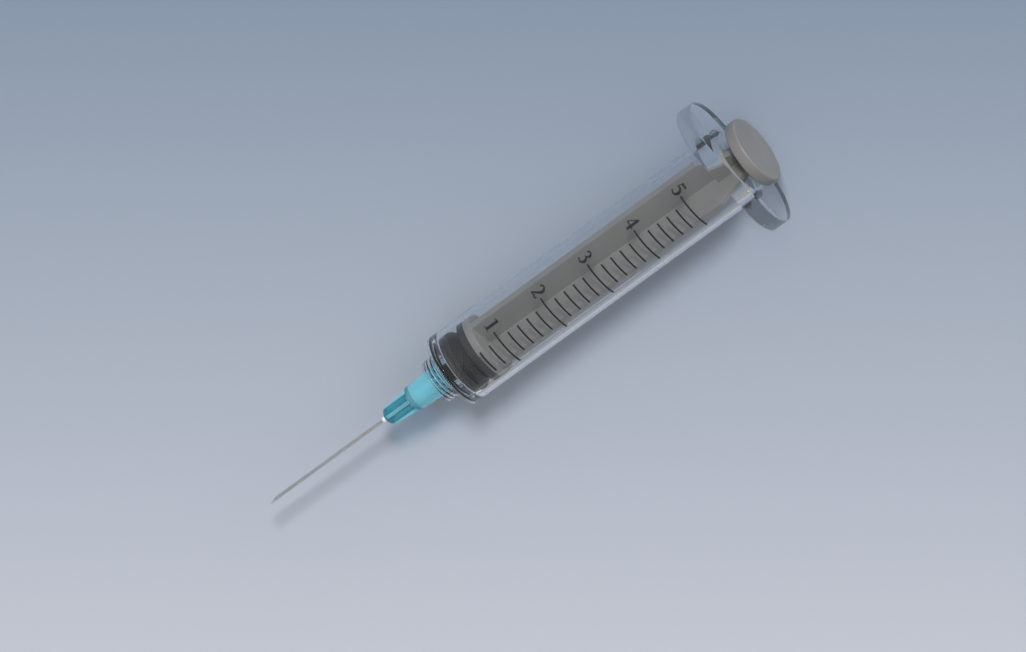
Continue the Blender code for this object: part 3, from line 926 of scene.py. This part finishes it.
def hubGrid():
    # One closed profile: the nose, the fins, ring and body, the lugs, the mouth, and back through the
    # socket, the funnel, the needle's tunnel and the glue well
    shape, fillets = hubShape, hubShape["fillets"]
    angles = armAngles(shape["finFront"] + shape["rowGap"], shape["finThickness"], shape)
    nose, finEnd, socketFloor = -shape["length"], -shape["finEnd"], -shape["socketDepth"]
    (rimLength, rimHeight), (mouthLength, mouthHeight) = shape["noseRim"], shape["mouthEdge"]
    lugFoot = -shape["lugStart"] - shape["lugLead"]
    nosePath = roundedPath([
        (nose, shape["wellRadius"] + shape["seam"]),
        (nose, shape["noseRadius"], fillets["nose"]),
        (nose + rimLength, shape["noseRadius"] + rimHeight),
    ])
    bodyPath = roundedPath([
        (finEnd, shape["ringRadius"] - shape["ringStep"]),
        (finEnd, shape["ringRadius"], fillets["ring"]),
        (finEnd + shape["ringLength"], shape["ringRadius"], fillets["ringRear"], shape["bodyStep"]),
        (lugFoot, bodyRadius(lugFoot)),
    ])
    insidePath = roundedPath([
        (-mouthLength, bodyRadius(-mouthLength)),
        (0, shape["mouthRadius"] - mouthHeight, fillets["mouth"]),
        (0, shape["socketMouth"], fillets["socket"], shape["bodyStep"]),
        (socketFloor, shape["socketMouth"] + shape["tipSlope"] * socketFloor, fillets["socketFloor"]),
        (socketFloor, shape["funnelRadius"], fillets["funnel"]),
        (socketFloor - shape["funnelLength"], shape["tunnelRadius"], fillets["tunnel"]),
        (nose + shape["wellDepth"], shape["tunnelRadius"]),
        (nose + shape["wellDepth"], shape["wellEnd"], fillets["well"]),
        (nose + shape["seam"], shape["wellRadius"]),
    ])
    stretches = [
        turned(nosePath, angles), finRows(angles), turned(bodyPath, angles), lugRows(angles),
        turned(insidePath, angles),
    ]
    x, radius = (np.vstack(part) for part in zip(*stretches))
    return onAxis(hubMouth, x, radius, angles + math.radians(shape["turn"]))


makePiece(
    "hubShell", [hubGrid()], bluePlasticMaterial(hubRing), "needle", "needle_hub",
    closedRows=True
)
print("stage 7: the needle's hub")

needleShape = {
    "radius": 0.32, "boreRadius": 0.17, "turn": -71.7, "columns": 64,
    "bevelLength": 2.5, "sideRun": 1.25, "sideRise": 2.6,
    "outerEdge": 0.004, "innerEdge": 0.006, "edgeDepth": 0.012,  # rounding along the ground faces' edges
    "rings": (2.8, 3.5, 5, 8, 12, 16, 20, 24, 28),  # places of the tube's rows, from the point
    "rearRing": 0.03, "rearRound": 0.024,
}


def bevelCut(radius, angles):
    # Where the ground faces end the tube: the main slope, or past it the side slopes that make the point
    height = needleShape["radius"] + radius * np.cos(angles)
    main = needleShape["bevelLength"] * height / (2 * needleShape["radius"])
    side = needleShape["sideRun"] * np.abs(radius * np.sin(angles)) + needleShape["sideRise"] * height
    return np.maximum(main, side)


def needleGrid():
    # One closed profile: from the point along the outside, back through the bore and over the ground edge
    shape = needleShape
    low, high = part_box("cannula")
    length = (high.x - low.x) / mm
    angles = evenAngles(shape["columns"])
    ones = np.ones_like(angles)
    rings = np.array([*shape["rings"], length - shape["rearRing"]])[:, None] * ones
    outerEdge, innerEdge = shape["radius"] - shape["outerEdge"], shape["boreRadius"] + shape["innerEdge"]
    x = np.vstack([
        bevelCut(shape["radius"], angles) + shape["edgeDepth"],
        rings,
        length * ones,
        length * ones,
        rings[::-1],
        bevelCut(shape["boreRadius"], angles) + shape["edgeDepth"],
        bevelCut(innerEdge, angles),
        bevelCut(outerEdge, angles),
    ])
    radius = np.array(
        [shape["radius"]] * (len(rings) + 1) + [shape["radius"] - shape["rearRound"]]
        + [shape["boreRadius"]] * (len(rings) + 2) + [innerEdge, outerEdge]
    )
    return onAxis(low.x, x, radius[:, None], angles + math.radians(shape["turn"]))


makePiece(
    "needleTube", [needleGrid()], steelMaterial(), "needle", "cannula", closedRows=True
)

glueShape = {
    # Section of the drop from the front to the rear, as (place behind the hub's nose, radius, fillet)
    "section": [
        (-0.8, 0.35), (-0.72, 0.45, 0.1), (-0.5, 0.5, 0.2), (-0.03, 0.5, 0.05), (0.03, 0.58, 0.04),
        (1.47, 0.47, 0.05), (1.47, 0.35),
    ],
    "columns": 64,
}


def glueGrid():
    # A drop that wets the needle and the hub's nose, and fills the well behind it
    angles = evenAngles(glueShape["columns"])
    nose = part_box("needle_hub")[0].x
    return onAxis(nose, *turned(roundedPath(glueShape["section"], closed=True), angles), angles)


makePiece(
    "glueBead", [glueGrid()], glueMaterial(), "needle", "adhesive_bead", closedRows=True
)
print("stage 8: the needle and its glue")

# Floor, light and camera, in metres and degrees. The camera looks at the middle of the syringe from the
# photo's side, with no perspective.
cameraShape = {
    "right": (0.7669, -0.6414, -0.0221), "up": (0.5572, 0.6825, -0.4731), "back": (0.3185, 0.3505, 0.8807),
    "viewWidth": 0.1685, "distance": 2.0, "clip": (0.01, 10),
}
stageShape = {
    "floorSize": 8.0, "floorNear": (0.539, 0.565, 0.638), "floorFar": (0.246, 0.309, 0.402),
    "floorSockets": {"Roughness": 0.9, "Specular IOR Level": 0.1}, "fade": (-0.0644, 0.0572),
    "sky": (0.4, 0.4, 0.4),
    "keyPower": 2.3, "keyAngle": 12, "keyFrom": (0.45, 0.6, 0.66),
    "fillPower": 1.2, "fillAngle": 40, "fillFrom": (0.95, 0.1, 0.3),
    "rimPower": 0.012, "rimSize": 0.05, "rimPlace": (-0.159, -0.463, 0.107),
}


def addLight(name, kind, power, place):
    light = bpy.data.objects.new(name, bpy.data.lights.new(name, kind))
    light.data.energy = power
    light.location = place
    light.rotation_euler = Vector(place).to_track_quat("Z", "Y").to_euler()
    bpy.context.scene.collection.objects.link(light)
    return light


def addLights():
    # Two suns, and a small lamp low on the needle's side
    for name in ("key", "fill"):
        sun = addLight(name + "Light", "SUN", stageShape[name + "Power"], stageShape[name + "From"])
        sun.data.angle = math.radians(stageShape[name + "Angle"])
    rimLight = addLight("rimLight", "AREA", stageShape["rimPower"], stageShape["rimPlace"])
    rimLight.data.size = stageShape["rimSize"]


def addCamera():
    # The camera's matrix: its three axes as columns, and its place on the back axis
    shape = cameraShape
    right, up, back = shape["right"], shape["up"], shape["back"]
    camera = bpy.data.objects.new("photoCamera", bpy.data.cameras.new("photoCamera"))
    camera.data.type = "ORTHO"
    camera.data.ortho_scale = shape["viewWidth"]
    camera.data.clip_start, camera.data.clip_end = shape["clip"]
    place = Vector((0, 0, axisZ)) + Vector(back) * shape["distance"]
    camera.matrix_world = Matrix([*zip(right, up, back, place), (0, 0, 0, 1)])
    bpy.context.scene.collection.objects.link(camera)
    bpy.context.scene.camera = camera


def floorMaterial():
    # Pale blue-grey that deepens away from the camera, along the view's upward direction on the floor
    material, tree, shader = newMaterial("paleFloor", stageShape["floorSockets"])
    upX, upY = cameraShape["up"][:2]
    flat = math.hypot(upX, upY)
    dot = newNode(tree, "ShaderNodeVectorMath", operation="DOT_PRODUCT")
    tree.links.new(objectPlace(tree), dot.inputs[0])
    dot.inputs[1].default_value = (upX / flat, upY / flat, 0)
    fade = mapRange(tree, dot.outputs["Value"], stageShape["fade"], (0, 1))
    base = blendColours(tree, fade, stageShape["floorNear"], stageShape["floorFar"])
    tree.links.new(base, shader.inputs["Base Color"])
    return material


def addFloor():
    half = stageShape["floorSize"] / 2
    corners = [(-half, -half, 0), (half, -half, 0), (half, half, 0), (-half, half, 0)]
    mesh = bpy.data.meshes.new("floor")
    mesh.from_pydata(corners, [], [(0, 1, 2, 3)])
    floor = bpy.data.objects.new("floor", mesh)
    bpy.context.scene.collection.objects.link(floor)
    mesh.materials.append(floorMaterial())


def addSky():
    world = bpy.data.worlds.new("softSky")
    world.use_nodes = True
    world.node_tree.nodes["Background"].inputs["Color"].default_value = (*stageShape["sky"], 1)
    bpy.context.scene.world = world


addCamera()
addLights()
addFloor()
addSky()
bpy.context.scene.view_settings.view_transform = "Standard"
print("stage 9: floor, light and camera")
